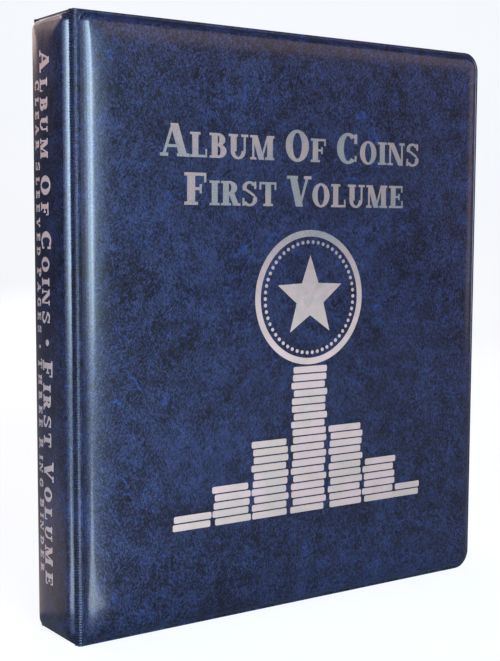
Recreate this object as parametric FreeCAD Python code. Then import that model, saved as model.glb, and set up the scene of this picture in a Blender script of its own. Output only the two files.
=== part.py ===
import FreeCAD, Part
import math
import os

# Padded three-ring coin album, standing closed on the bottom edges of its spine and covers.
#
# Frame, in millimetres: origin at the centre of the album's foot print, +Z up the album's height.
# The spine faces -X and the fore-edge +X. The front cover faces -Y and the back cover +Y.
#
# Heat-sealed vinyl construction: an outer sheet and an inner liner are welded together round a
# board and a foam pad in each of three panels. The flat welds between the panels are the hinges.
# A three-ring mechanism is riveted inside the spine and carries six leaves: clear vinyl
# sleeves with a die-cut coin card in each.

# ---------------------------------------------------------------- driving dimensions

ALBUM_HEIGHT = 298.0
COVER_DEPTH = 257.0  # from the fold at the spine to the fore-edge
FOLD_WIDTH = 42.0  # between the outer faces of the two folds

# Sheets and fillings
OUTER_VINYL = 0.5
LINER_VINYL = 0.4
WELD = OUTER_VINYL + LINER_VINYL
BOARD = 2.3
COVER_RISE = 4.5  # padded face above the weld's outer face
SPINE_RISE = 5.0
RIM = 2.0  # flat welded rim round each panel

# Panel outlines
COVER_CORNER = 10.0  # fore-edge corners of the rim
PAD_OUTER_CORNER = 8.0
PAD_HINGE_CORNER = 4.2
COVER_EDGE_FILLET = 3.6
SPINE_EDGE_FILLET = 3.2
COVER_STRIP = 3.2  # hinge strip, from the fold to the cover panel
SPINE_STRIP = 6.6  # hinge strip, from the fold to the spine panel
FOLD_RADIUS = 1.8

# Fits
SLIP = 0.1  # between a filling and its vinyl
BOARD_INSET = 0.6  # board edge behind the vinyl wall

# Ring mechanism. Heights are measured from the liner's inner face, away from the spine.
RING_PITCH = 108.0
RING_RADIUS = 14.2  # centre line of the wire
WIRE_RADIUS = 1.5
RING_CENTRE_HEIGHT = 15.4
RING_ROOT_ANGLE = 147.0  # from the ring's apex to its root
RING_TIP_GAP = 0.05  # each half stops this short of the middle
TIP_CONE_RADIUS, TIP_CONE_LENGTH, TIP_CLEARANCE = 0.9, 0.7, 0.12

PLATE_PIVOT_HEIGHT, PLATE_PIVOT_Y = 3.6, 10.3
PLATE_WIDTH, PLATE_THICKNESS, PLATE_LENGTH = 10.1, 1.0, 266.0
PLATE_REST_ANGLE = 8.0  # each plate dips towards the spine while the rings are shut

HOUSING_HALF_WIDTH, HOUSING_WALL = 11.6, 0.8
HOUSING_SHOULDER, HOUSING_CROWN = 5.0, 7.4
HOUSING_LENGTH = 264.0
LIP_LOW, LIP_HIGH, LIP_REACH = 2.1, 2.8, 1.0
RING_SLOT_HALF, RING_SLOT_INNER_Y, RING_SLOT_LOW = 2.3, 5.0, 3.0
EAR_LENGTH, EAR_HEIGHT = 8.5, 5.4

LEVER_HEIGHT, LEVER_OFFSET = 3.4, 136.5  # pivot above the liner, and from the middle ring
LEVER_BARREL_RADIUS, LEVER_LUG_RADIUS, LUG_CLEARANCE = 1.5, 1.05, 0.05
LEVER_HANDLE_LEAN, LEVER_HANDLE_LENGTH = 25.0, 13.5  # lean away from the rings, degrees
LEVER_HANDLE_WIDTH, LEVER_THICKNESS = 15.0, 1.0
TONGUE_WIDTH, TONGUE_THICKNESS, TONGUE_HEIGHT = 8.0, 0.7, 1.0
TONGUE_REACH = 5.0

RIVET_OFFSET = 120.0
RIVET_SHANK, RIVET_HEAD, RIVET_CLEARANCE = 2.4, 4.0, 0.05
RIVET_HEAD_THICKNESS, RIVET_BACK_HEAD, RIVET_BACK_THICKNESS = 1.0, 4.5, 0.6
RIVET_DIMPLE_RADIUS, RIVET_DIMPLE_DEPTH = 1.5, 0.7

# Leaves
LEAF_YS = (-9.2, -7.0, -4.8, 4.8, 7.0, 9.2)  # three to each side of the ring joint
LEAF_WIDTH, LEAF_HEIGHT, LEAF_THICKNESS = 225.0, 276.0, 2.0
LEAF_CORNER = 5.0
BINDING_WIDTH, BINDING_THICKNESS = 22.0, 0.5
PUNCH_MARGIN, PUNCH_RADIUS = 8.5, 3.6
SLEEVE_WALL = 0.2
SLEEVE_SEAM = 2.5  # welded border of the sleeve
CARD_THICKNESS, CARD_PLAY = 1.5, 0.3
CARD_TOP_MARGIN = 3.0
CARD_CORNER = 3.0
PORT_COLUMNS, PORT_ROWS = 4, 5
PORT_DIAMETERS = (19.4, 21.6, 18.2, 24.6, 26.9, 22.6)  # one size of coin per leaf

# ---------------------------------------------------------------- places that follow from them

TOTAL_DEPTH = COVER_DEPTH + SPINE_RISE
FORE_EDGE_X = TOTAL_DEPTH / 2
FOLD_X = FORE_EDGE_X - COVER_DEPTH
LINER_X = FOLD_X + WELD  # inner face of the spine's liner
FOLD_Y = FOLD_WIDTH / 2
MIDDLE_Z = ALBUM_HEIGHT / 2
RING_CENTRE_X = LINER_X + RING_CENTRE_HEIGHT
RING_ZS = (MIDDLE_Z + RING_PITCH, MIDDLE_Z, MIDDLE_Z - RING_PITCH)
RING_NAMES = ("upper", "middle", "lower")
RIVET_ZS = (MIDDLE_Z + RIVET_OFFSET, MIDDLE_Z - RIVET_OFFSET)

X, Y, Z = FreeCAD.Vector(1, 0, 0), FreeCAD.Vector(0, 1, 0), FreeCAD.Vector(0, 0, 1)
V = FreeCAD.Vector


# ---------------------------------------------------------------- shape helpers


def box(low, high):
    """A box between two corners."""
    size = [h - l for l, h in zip(low, high)]
    return Part.makeBox(*size, V(*low))


def cylinder(start, axis, radius, length):
    return Part.makeCylinder(radius, length, start, axis)


def rounded_rectangle(corner, u, v, width, height, radii):
    """A face with its own radius at each corner, in the order 0, u, u+v, v."""
    corners = [corner, corner + u * width, corner + u * width + v * height, corner + v * height]
    ways = [u, v, u * -1, v * -1]
    starts = [point - ways[k - 1] * radii[k] for k, point in enumerate(corners)]
    ends = [point + ways[k] * radii[k] for k, point in enumerate(corners)]
    edges = []
    for k, (point, radius) in enumerate(zip(corners, radii)):
        if radius > 0:
            centre = starts[k] + ways[k] * radius
            middle = centre + (point - centre).normalize() * radius
            edges.append(Part.Arc(starts[k], middle, ends[k]).toShape())
        edges.append(Part.LineSegment(ends[k], starts[(k + 1) % 4]).toShape())
    return Part.Face(Part.Wire(edges))


def fillet_far_edges(solid, normal, radius):
    """Rounds the edges of the face that lies furthest along the normal."""
    far = max(v.Point.dot(normal) for v in solid.Vertexes)
    edges = [e for e in solid.Edges if all(abs(v.Point.dot(normal) - far) < 1e-6 for v in e.Vertexes)]
    return solid.makeFillet(radius, edges)


class Panel:
    """One padded panel: a rectangle in the weld plane, its outward normal, and how far the pad rises.

    Heights are along the normal, from the weld's outer face.
    """

    def __init__(self, origin, u, normal, width, rise, fillet, rim_radii, rims, pad_radii):
        self.origin, self.u, self.normal, self.width = origin, u, normal, width
        self.rise, self.fillet, self.rim_radii = rise, fillet, rim_radii
        self.rims, self.pad_radii = rims, pad_radii  # rims: flat weld at the low and high u sides

    def sheet(self, low, high):
        """The whole outline as a flat sheet between two heights."""
        face = rounded_rectangle(
            self.origin + self.normal * low, self.u, Z, self.width, ALBUM_HEIGHT, self.rim_radii
        )
        return face.extrude(self.normal * (high - low))

    def pad(self, inset, low, high, fillet=0.0):
        """The padded outline, set in, as a block between two heights."""
        left, right = self.rims
        corner = self.origin + self.u * (left + inset) + Z * (RIM + inset) + self.normal * low
        face = rounded_rectangle(
            corner,
            self.u,
            Z,
            self.width - left - right - 2 * inset,
            ALBUM_HEIGHT - 2 * (RIM + inset),
            [r - inset for r in self.pad_radii],
        )
        block = face.extrude(self.normal * (high - low))
        return fillet_far_edges(block, self.normal, fillet) if fillet else block

    def outer_vinyl(self):
        skin = self.sheet(-OUTER_VINYL, 0).fuse(self.pad(0, -OUTER_VINYL, self.rise, self.fillet))
        hollow = self.pad(
            OUTER_VINYL, -OUTER_VINYL, self.rise - OUTER_VINYL, self.fillet - OUTER_VINYL
        )
        return skin.cut(hollow).removeSplitter()

    def liner(self):
        return self.sheet(-WELD, -OUTER_VINYL)

    def board(self):
        return self.pad(OUTER_VINYL + BOARD_INSET, -OUTER_VINYL, BOARD - OUTER_VINYL)

    def foam(self):
        inset = OUTER_VINYL + SLIP
        block = self.pad(inset, -OUTER_VINYL, self.rise - OUTER_VINYL, self.fillet - inset)
        below = self.sheet(-WELD, BOARD - OUTER_VINYL)
        return block.cut(below)


# ---------------------------------------------------------------- covers, spine and hinge strips


def cover_panel(side):
    """side is -1 for the front cover and +1 for the back."""
    return Panel(
        origin=V(FOLD_X + COVER_STRIP, side * FOLD_Y, 0),
        u=X,
        normal=Y * side,
        width=COVER_DEPTH - COVER_STRIP,
        rise=COVER_RISE,
        fillet=COVER_EDGE_FILLET,
        rim_radii=[0, COVER_CORNER, COVER_CORNER, 0],
        rims=(0.4, RIM),
        pad_radii=[PAD_HINGE_CORNER, PAD_OUTER_CORNER, PAD_OUTER_CORNER, PAD_HINGE_CORNER],
    )


def spine_panel():
    half = FOLD_Y - SPINE_STRIP
    return Panel(
        origin=V(FOLD_X, -half, 0),
        u=Y,
        normal=X * -1,
        width=2 * half,
        rise=SPINE_RISE,
        fillet=SPINE_EDGE_FILLET,
        rim_radii=[0] * 4,
        rims=(0.4, 0.4),
        pad_radii=[PAD_HINGE_CORNER] * 4,
    )


def rivet_holes(radius):
    """Two cylinders across the spine, one at each rivet."""
    start = V(LINER_X - BOARD - SPINE_RISE - WELD, 0, 0)
    length = 2 * (BOARD + SPINE_RISE + WELD)
    return [cylinder(start + Z * z, X, radius, length) for z in RIVET_ZS]


def hinge_strip(side):
    """The flat weld that folds between the spine and a cover, bent round its corner."""
    y = side * FOLD_Y
    inner_y = side * (FOLD_Y - WELD)
    spine_y = side * (FOLD_Y - SPINE_STRIP)
    cover_x = FOLD_X + COVER_STRIP
    bend_x, bend_y = FOLD_X + FOLD_RADIUS, side * (FOLD_Y - FOLD_RADIUS)
    diagonal = math.sqrt(0.5)
    inner_radius = FOLD_RADIUS - WELD

    def on_bend(radius):
        return V(bend_x - radius * diagonal, bend_y + side * radius * diagonal, 0)

    outline = [
        Part.LineSegment(V(FOLD_X, spine_y, 0), V(FOLD_X, bend_y, 0)),
        Part.Arc(V(FOLD_X, bend_y, 0), on_bend(FOLD_RADIUS), V(bend_x, y, 0)),
        Part.LineSegment(V(bend_x, y, 0), V(cover_x, y, 0)),
        Part.LineSegment(V(cover_x, y, 0), V(cover_x, inner_y, 0)),
        Part.LineSegment(V(cover_x, inner_y, 0), V(bend_x, inner_y, 0)),
        Part.Arc(V(bend_x, inner_y, 0), on_bend(inner_radius), V(LINER_X, bend_y, 0)),
        Part.LineSegment(V(LINER_X, bend_y, 0), V(LINER_X, spine_y, 0)),
        Part.LineSegment(V(LINER_X, spine_y, 0), V(FOLD_X, spine_y, 0)),
    ]
    wire = Part.Wire([piece.toShape() for piece in outline])
    return Part.Face(wire).extrude(Z * ALBUM_HEIGHT)


# ---------------------------------------------------------------- ring mechanism


def housing_section(half_width, shoulder, crown, foot):
    """The arched section of the housing, as a face in the XY plane."""
    low, high = V(LINER_X + shoulder, -half_width, 0), V(LINER_X + shoulder, half_width, 0)
    foot_low, foot_high = V(LINER_X + foot, -half_width, 0), V(LINER_X + foot, half_width, 0)
    wire = Part.Wire(
        [
            Part.Arc(low, V(LINER_X + crown, 0, 0), high).toShape(),
            Part.LineSegment(high, foot_high).toShape(),
            Part.LineSegment(foot_high, foot_low).toShape(),
            Part.LineSegment(foot_low, low).toShape(),
        ]
    )
    return Part.Face(wire)


def ring_housing():
    inner_half = HOUSING_HALF_WIDTH - HOUSING_WALL
    low_z, high_z = MIDDLE_Z - HOUSING_LENGTH / 2, MIDDLE_Z + HOUSING_LENGTH / 2
    outer = housing_section(HOUSING_HALF_WIDTH, HOUSING_SHOULDER, HOUSING_CROWN, 0.0)
    inner = housing_section(
        inner_half, HOUSING_SHOULDER - HOUSING_WALL / 2, HOUSING_CROWN - HOUSING_WALL, -1.0
    )
    shell = outer.extrude(Z * HOUSING_LENGTH).cut(inner.extrude(Z * HOUSING_LENGTH))
    shell.translate(Z * low_z)
    extras = []
    for side in (-1, 1):
        ys = sorted((side * (inner_half - LIP_REACH), side * (inner_half + HOUSING_WALL / 2)))
        extras.append(box((LINER_X + LIP_LOW, ys[0], low_z), (LINER_X + LIP_HIGH, ys[1], high_z)))
        ear_ys = sorted((side * inner_half, side * HOUSING_HALF_WIDTH))
        for z in (low_z - EAR_LENGTH, high_z):
            extras.append(box((LINER_X, ear_ys[0], z), (LINER_X + EAR_HEIGHT, ear_ys[1], z + EAR_LENGTH)))
    shell = shell.fuse(extras).removeSplitter()
    cuts = []
    for z in RING_ZS:
        for side in (-1, 1):
            ys = sorted((side * RING_SLOT_INNER_Y, side * (HOUSING_HALF_WIDTH + 1)))
            cuts.append(
                box(
                    (LINER_X + RING_SLOT_LOW, ys[0], z - RING_SLOT_HALF),
                    (LINER_X + HOUSING_CROWN + 1, ys[1], z + RING_SLOT_HALF),
                )
            )
    for z in (MIDDLE_Z - LEVER_OFFSET, MIDDLE_Z + LEVER_OFFSET):
        start = V(LINER_X + LEVER_HEIGHT, -HOUSING_HALF_WIDTH - 1, z)
        cuts.append(cylinder(start, Y, LEVER_LUG_RADIUS + LUG_CLEARANCE, 2 * HOUSING_HALF_WIDTH + 2))
    for z in RIVET_ZS:
        start = V(LINER_X + LIP_HIGH, 0, z)
        cuts.append(cylinder(start, X, RIVET_SHANK + RIVET_CLEARANCE, HOUSING_CROWN))
    return shell.cut(cuts)


def rivet(z):
    """A tubular rivet from the back of the spine board to the top of the housing."""
    back_x = LINER_X - LINER_VINYL - BOARD
    crown_x = LINER_X + HOUSING_CROWN
    centre = Z * z
    shank = cylinder(V(back_x, 0, 0) + centre, X, RIVET_SHANK, crown_x - back_x)
    head = cylinder(V(crown_x, 0, 0) + centre, X, RIVET_HEAD, RIVET_HEAD_THICKNESS)
    head = fillet_far_edges(head, X, RIVET_HEAD_THICKNESS * 0.7)
    back = cylinder(
        V(back_x - RIVET_BACK_THICKNESS, 0, 0) + centre, X, RIVET_BACK_HEAD, RIVET_BACK_THICKNESS
    )
    dimple = cylinder(
        V(crown_x + RIVET_HEAD_THICKNESS - RIVET_DIMPLE_DEPTH, 0, 0) + centre,
        X,
        RIVET_DIMPLE_RADIUS,
        2 * RIVET_DIMPLE_DEPTH,
    )
    return shank.fuse([head, back]).cut(dimple).removeSplitter()


def hinge_plate(side):
    """The toggle plate that carries one side's ring halves, dipped towards the spine."""
    pivot = V(LINER_X + PLATE_PIVOT_HEIGHT, side * PLATE_PIVOT_Y, MIDDLE_Z - PLATE_LENGTH / 2)
    ys = sorted((pivot.y, pivot.y - side * PLATE_WIDTH))
    half = PLATE_THICKNESS / 2
    slab = box((pivot.x - half, ys[0], pivot.z), (pivot.x + half, ys[1], pivot.z + PLATE_LENGTH))
    rod = cylinder(pivot, Z, half, PLATE_LENGTH)
    notches = [
        box(
            (pivot.x - 2, -RIVET_HEAD, z - RIVET_HEAD),
            (pivot.x + 2, RIVET_HEAD, z + RIVET_HEAD),
        )
        for z in RIVET_ZS
    ]
    plate = slab.fuse(rod).cut(notches).removeSplitter()
    plate.rotate(pivot, Z, -side * PLATE_REST_ANGLE)
    return plate


def ring_half(side, z, plate):
    """One ring half: round wire from just short of the apex to its root on the hinge plate."""
    centre = V(RING_CENTRE_X, 0, z)
    start_angle = math.degrees(RING_TIP_GAP / RING_RADIUS)
    section = Part.Face(Part.Wire(Part.makeCircle(WIRE_RADIUS, centre + X * RING_RADIUS, Y)))
    wire = section.revolve(centre, Z, side * (RING_ROOT_ANGLE - start_angle))
    wire.rotate(centre, Z, side * start_angle)
    tip = centre + X * RING_RADIUS
    if side < 0:
        cone = Part.makeCone(
            TIP_CONE_RADIUS, 0, TIP_CONE_LENGTH + RING_TIP_GAP * 2, tip - Y * RING_TIP_GAP * 2, Y
        )
        wire = wire.fuse(cone).removeSplitter()
    else:
        socket = Part.makeCone(
            TIP_CONE_RADIUS + TIP_CLEARANCE, 0, TIP_CONE_LENGTH + 2 * TIP_CLEARANCE, tip, Y
        )
        wire = wire.cut(socket)
    return max(wire.cut(plate).Solids, key=lambda solid: solid.Volume)


def lever(end):
    """An opening lever: barrel and lugs, a handle outside the housing, and a tongue under the plates."""
    pivot = V(LINER_X + LEVER_HEIGHT, 0, MIDDLE_Z + end * LEVER_OFFSET)
    inner_half = HOUSING_HALF_WIDTH - HOUSING_WALL
    barrel_half = inner_half - 0.3
    barrel = cylinder(pivot - Y * barrel_half, Y, LEVER_BARREL_RADIUS, 2 * barrel_half)
    lugs = cylinder(pivot - Y * HOUSING_HALF_WIDTH, Y, LEVER_LUG_RADIUS, 2 * HOUSING_HALF_WIDTH)
    half_width = LEVER_HANDLE_WIDTH / 2
    face = rounded_rectangle(
        pivot - Y * half_width - Z * LEVER_THICKNESS / 2,
        Y,
        X,
        LEVER_HANDLE_WIDTH,
        LEVER_HANDLE_LENGTH,
        [0, 5.0, 5.0, 0],
    )
    handle = face.extrude(Z * LEVER_THICKNESS)
    handle = fillet_far_edges(handle, X, LEVER_THICKNESS * 0.3)
    handle.rotate(pivot, Y, -end * LEVER_HANDLE_LEAN)
    tongue_x = LINER_X + TONGUE_HEIGHT
    half_tongue = TONGUE_WIDTH / 2
    root = pivot.z - end * (LEVER_BARREL_RADIUS * 0.6)
    tip = pivot.z - end * TONGUE_REACH
    zs = sorted((root, tip))
    tongue = box(
        (tongue_x - TONGUE_THICKNESS / 2, -half_tongue, zs[0]),
        (tongue_x + TONGUE_THICKNESS / 2, half_tongue, zs[1]),
    )
    leg_zs = sorted((root, root + end * TONGUE_THICKNESS))
    leg = box((tongue_x - TONGUE_THICKNESS / 2, -half_tongue, leg_zs[0]), (pivot.x, half_tongue, leg_zs[1]))
    return barrel.fuse([lugs, handle, tongue, leg]).removeSplitter()


# ---------------------------------------------------------------- leaves


def leaf_place(index):
    """The Y of a leaf's middle plane, and the X of its punched holes on the ring wire."""
    y = LEAF_YS[index]
    return y, RING_CENTRE_X + math.sqrt(RING_RADIUS**2 - y**2)


def leaf_slab(index, x_from, x_to, z_from, z_to, thickness, corners):
    """A flat block of one leaf, measured from its punched edge and its foot."""
    y, hole_x = leaf_place(index)
    edge_x = hole_x - PUNCH_MARGIN
    foot_z = MIDDLE_Z - LEAF_HEIGHT / 2
    face = rounded_rectangle(
        V(edge_x + x_from, y - thickness / 2, foot_z + z_from), X, Z, x_to - x_from, z_to - z_from, corners
    )
    return face.extrude(Y * thickness)


def sleeve(index):
    """Clear vinyl sleeve, open at the top, with a punched binding strip."""
    y, hole_x = leaf_place(index)
    strip = leaf_slab(
        index, 0, BINDING_WIDTH + 1, 0, LEAF_HEIGHT, BINDING_THICKNESS, [LEAF_CORNER, 0, 0, LEAF_CORNER]
    )
    pocket = leaf_slab(
        index,
        BINDING_WIDTH,
        LEAF_WIDTH,
        0,
        LEAF_HEIGHT,
        LEAF_THICKNESS,
        [0, LEAF_CORNER, LEAF_CORNER, 0],
    )
    hollow = leaf_slab(
        index,
        BINDING_WIDTH + SLEEVE_SEAM,
        LEAF_WIDTH - SLEEVE_SEAM,
        SLEEVE_SEAM,
        LEAF_HEIGHT + 1,
        LEAF_THICKNESS - 2 * SLEEVE_WALL,
        [CARD_CORNER, CARD_CORNER, 0, 0],
    )
    holes = [cylinder(V(hole_x, y - LEAF_THICKNESS, z), Y, PUNCH_RADIUS, 2 * LEAF_THICKNESS) for z in RING_ZS]
    return pocket.fuse(strip).removeSplitter().cut([hollow] + holes)


def coin_card(index):
    """Stiff card inside a sleeve, with a grid of round ports for one size of coin."""
    play = SLEEVE_SEAM + CARD_PLAY
    x_from, x_to = BINDING_WIDTH + play, LEAF_WIDTH - play
    z_from, z_to = play, LEAF_HEIGHT - CARD_TOP_MARGIN
    card = leaf_slab(index, x_from, x_to, z_from, z_to, CARD_THICKNESS, [CARD_CORNER] * 4)
    y, hole_x = leaf_place(index)
    edge_x = hole_x - PUNCH_MARGIN
    foot_z = MIDDLE_Z - LEAF_HEIGHT / 2
    column_pitch = (x_to - x_from) / PORT_COLUMNS
    row_pitch = (z_to - z_from) / PORT_ROWS
    ports = []
    for column in range(PORT_COLUMNS):
        for row in range(PORT_ROWS):
            x = edge_x + x_from + (column + 0.5) * column_pitch
            z = foot_z + z_from + (row + 0.5) * row_pitch
            start = V(x, y - CARD_THICKNESS, z)
            ports.append(cylinder(start, Y, PORT_DIAMETERS[index] / 2, 2 * CARD_THICKNESS))
    return card.cut(ports)


# ---------------------------------------------------------------- the album


def album():
    """Every piece by its node name."""
    parts = {}
    for name, side in (("front", -1), ("back", 1)):
        panel = cover_panel(side)
        parts[f"{name}_outer_vinyl"] = panel.outer_vinyl()
        parts[f"{name}_foam_pad"] = panel.foam()
        parts[f"{name}_board"] = panel.board()
        parts[f"{name}_liner"] = panel.liner()
        parts[f"{name}_hinge_strip"] = hinge_strip(side)
        plate = hinge_plate(side)
        parts[f"{name}_hinge_plate"] = plate
        for ring, z in zip(RING_NAMES, RING_ZS):
            parts[f"{name}_ring_{ring}"] = ring_half(side, z, plate)

    spine = spine_panel()
    shank_holes = rivet_holes(RIVET_SHANK + RIVET_CLEARANCE)
    parts["spine_outer_vinyl"] = spine.outer_vinyl()
    parts["spine_foam_pad"] = spine.foam().cut(rivet_holes(RIVET_BACK_HEAD + SLIP))
    parts["spine_board"] = spine.board().cut(shank_holes)
    parts["spine_liner"] = spine.liner().cut(shank_holes)
    parts["ring_housing"] = ring_housing()
    parts["spine_rivets"] = Part.makeCompound([rivet(z) for z in RIVET_ZS])
    parts["upper_lever"] = lever(1)
    parts["lower_lever"] = lever(-1)

    for index in range(len(LEAF_YS)):
        parts[f"leaf_{index + 1}_sleeve"] = sleeve(index)
        parts[f"leaf_{index + 1}_coin_card"] = coin_card(index)
    return parts


def main():
    os.makedirs("parts", exist_ok=True)
    for name, shape in album().items():
        solids = shape.Solids
        volume = sum(solid.Volume for solid in solids)
        print(f"{name}: {len(solids)} solid, {volume / 1000:.2f} cm3, valid {shape.isValid()}")
        shape.exportStep(f"parts/{name}.step")


main()
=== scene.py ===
import math

import bpy
import numpy as np
from mathutils import Matrix, Vector, noise
from mathutils.geometry import delaunay_2d_cdt


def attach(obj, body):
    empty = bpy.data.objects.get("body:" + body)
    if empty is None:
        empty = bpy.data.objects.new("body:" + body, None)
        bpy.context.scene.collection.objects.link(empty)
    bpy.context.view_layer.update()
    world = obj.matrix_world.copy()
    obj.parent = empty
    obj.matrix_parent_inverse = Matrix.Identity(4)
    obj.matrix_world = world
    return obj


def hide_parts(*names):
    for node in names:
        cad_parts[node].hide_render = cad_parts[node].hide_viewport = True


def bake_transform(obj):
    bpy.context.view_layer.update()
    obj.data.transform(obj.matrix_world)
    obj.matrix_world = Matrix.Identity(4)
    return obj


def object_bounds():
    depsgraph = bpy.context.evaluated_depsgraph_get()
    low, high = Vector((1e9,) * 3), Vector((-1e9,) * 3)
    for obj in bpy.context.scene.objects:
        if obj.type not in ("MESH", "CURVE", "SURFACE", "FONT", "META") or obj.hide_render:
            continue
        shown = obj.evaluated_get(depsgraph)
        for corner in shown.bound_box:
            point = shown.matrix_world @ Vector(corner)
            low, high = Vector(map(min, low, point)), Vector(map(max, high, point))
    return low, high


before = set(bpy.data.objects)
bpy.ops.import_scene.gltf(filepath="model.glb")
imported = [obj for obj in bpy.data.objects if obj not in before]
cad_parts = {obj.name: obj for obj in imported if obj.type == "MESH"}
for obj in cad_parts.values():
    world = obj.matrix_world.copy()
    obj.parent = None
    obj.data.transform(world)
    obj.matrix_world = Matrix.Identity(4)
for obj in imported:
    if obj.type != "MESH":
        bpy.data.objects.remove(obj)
cad_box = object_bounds()

# Padded coin album with heat-sealed vinyl covers. Everything is in metres, in the CAD frame:
# the spine faces -X, the front cover -Y, and +Z is up. Shapes below are worked out in
# millimetres and scaled once, where a mesh is made.

MM = 0.001
HEIGHT = round(cad_box[1][2] / MM, 1)
FORE_EDGE = round(cad_box[1][0] / MM, 1)
COVER_START = -123.3  # edge of each cover panel beside its hinge weld
SPINE_HALF = 17.3  # half the width of the spine panel, between the hinge welds
SPINE_PLANE = 126.0  # distance of the spine's weld plane from the origin, towards -X
COVER_PLANE = 21.0  # distance of each cover's weld plane from the origin, along Y
PANEL_SHEET = 0.5
WELD = 0.9
RIM = 2.0


# ---------------------------------------------------------------- mesh helpers


def add_mesh(name, points, faces, sharp=None):
    """A mesh object from points in millimetres, smooth shaded, with sharp edges over an angle."""
    mesh = bpy.data.meshes.new(name)
    points = np.asarray(points, dtype=float) * MM
    mesh.from_pydata(points.tolist(), [], [tuple(face) for face in faces])
    mesh.update()
    mesh.shade_smooth()
    if sharp is not None:
        mesh.set_sharp_from_angle(angle=math.radians(sharp))
    thing = bpy.data.objects.new(name, mesh)
    bpy.context.scene.collection.objects.link(thing)
    return thing


def grid_faces(index):
    """Quads between the neighbouring points of a grid of point numbers."""
    corners = [index[:-1, :-1], index[1:, :-1], index[1:, 1:], index[:-1, 1:]]
    return [tuple(face) for face in np.stack(corners, axis=-1).reshape(-1, 4)]


def graded(low, high, fine, coarse):
    """Places from low to high, close together at both ends and wider apart in the middle."""
    growth = 1.12
    steps, reach, step = [0.0], 0.0, fine
    half = (high - low) / 2
    while reach + step < half:
        reach += step
        steps.append(reach)
        step = min(coarse, step * growth)
    if half - reach > step * 0.5:
        steps = [s * half / (reach + step) for s in steps]
    left = [low + s for s in steps]
    return np.array(left + [(low + high) / 2] + [high + low - x for x in reversed(left)])


def smooth_step(value, low, high):
    t = np.clip((value - low) / (high - low), 0.0, 1.0)
    return t * t * (3.0 - 2.0 * t)


def eased(part, power):
    """Goes from 0 to 1 as its argument does, steepest at the start and level at the end."""
    return 1.0 - (1.0 - np.clip(part, 0.0, 1.0)) ** power


def inside_distance(u, v, low, high, radii):
    """How far each point lies inside a rounded rectangle. Radii: low-u side, high-u side."""
    middle = (low + high) / 2
    half = (high - low) / 2
    radius = np.where(u < middle[0], radii[0], radii[1])
    qu = np.abs(u - middle[0]) - half[0] + radius
    qv = np.abs(v - middle[1]) - half[1] + radius
    outside = np.hypot(np.maximum(qu, 0.0), np.maximum(qv, 0.0))
    return radius - outside - np.minimum(np.maximum(qu, qv), 0.0)


def round_corners(u, v, low, high, radii):
    """Bends the corner blocks of a rectangular grid into quarter discs."""
    for far_side, radius in enumerate(radii):
        if radius == 0:
            continue
        for top in (False, True):
            cu = high[0] - radius if far_side else low[0] + radius
            cv = high[1] - radius if top else low[1] + radius
            along_u, along_v = (1 if far_side else -1), (1 if top else -1)
            a, b = (u - cu) * along_u, (v - cv) * along_v
            in_corner = (a > 0) & (b > 0)
            r = np.maximum(a, b)
            angle = np.pi / 4 * np.minimum(a, b) / np.maximum(r, 1e-9)
            angle = np.where(a >= b, angle, np.pi / 2 - angle)
            u = np.where(in_corner, cu + along_u * r * np.cos(angle), u)
            v = np.where(in_corner, cv + along_v * r * np.sin(angle), v)
    return u, v


def noise_field(u, v, scale_u, scale_v, seed):
    flat = [
        noise.noise(Vector((a / scale_u, b / scale_v, seed)))
        for a, b in zip(u.ravel(), v.ravel())
    ]
    return np.array(flat).reshape(u.shape)


# ---------------------------------------------------------------- padded panels
# A pad's height is a wall at its edge, rolls that ease in from its sides, a wide crown and
# slight waves. Each reach is the distance from the edge to where that part is full.


class Cover:
    """Outer face of one cover: a flat weld all round and a foam-filled pad inside it."""

    low = np.array([COVER_START, 0.0])
    high = np.array([FORE_EDGE, HEIGHT])
    corners = (0.0, 10.0)
    pad_low = np.array([COVER_START + 0.2, 1.5])
    pad_high = np.array([FORE_EDGE - RIM, HEIGHT - 1.5])
    pad_corners = (4.6, 8.4)
    lines_u = graded(COVER_START, FORE_EDGE, 0.32, 3.2)
    lines_v = graded(0.0, HEIGHT, 0.32, 3.2)

    wall_height, wall_reach = 2.6, 4.5
    roll_height, hinge_reach, fore_edge_reach = 2.3, 16.5, 11.0
    end_reaches = (13.0, 34.0)
    crown_height, crown_reach = 0.6, 32.0
    wave_height, ripple_height = 0.16, 0.05

    def __init__(self, side):
        self.side = side  # -1 front, +1 back
        self.flip = side > 0

    def rise(self, u, v):
        d = inside_distance(u, v, self.pad_low, self.pad_high, self.pad_corners)
        inside = np.maximum(d, 0.0)
        wall = self.wall_height * eased(inside / self.wall_reach, 2.6) ** 0.62
        roll = self.roll_height * eased((u - self.pad_low[0]) / self.hinge_reach, 2.3)
        roll *= eased((self.pad_high[0] - u) / self.fore_edge_reach, 2.2)
        ends = np.minimum(v - self.pad_low[1], self.pad_high[1] - v)
        near, far = (ends / reach for reach in self.end_reaches)
        roll *= 0.5 * eased(near, 2.2) + 0.5 * eased(far, 2.0)
        crown = self.crown_height * (1.0 - np.exp(-inside / self.crown_reach))
        wave = self.wave_height * noise_field(u, v, 46.0, 70.0, 3.1 * self.side)
        wave += self.ripple_height * noise_field(u, v, 17.0, 23.0, 9.7 * self.side)
        height = wall + roll + crown + wave * smooth_step(d, 4.0, 24.0)
        return np.where(d > 0, height, 0.0)

    def place(self, u, v, h):
        return np.stack([u, self.side * (COVER_PLANE + h), v], axis=-1)


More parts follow.
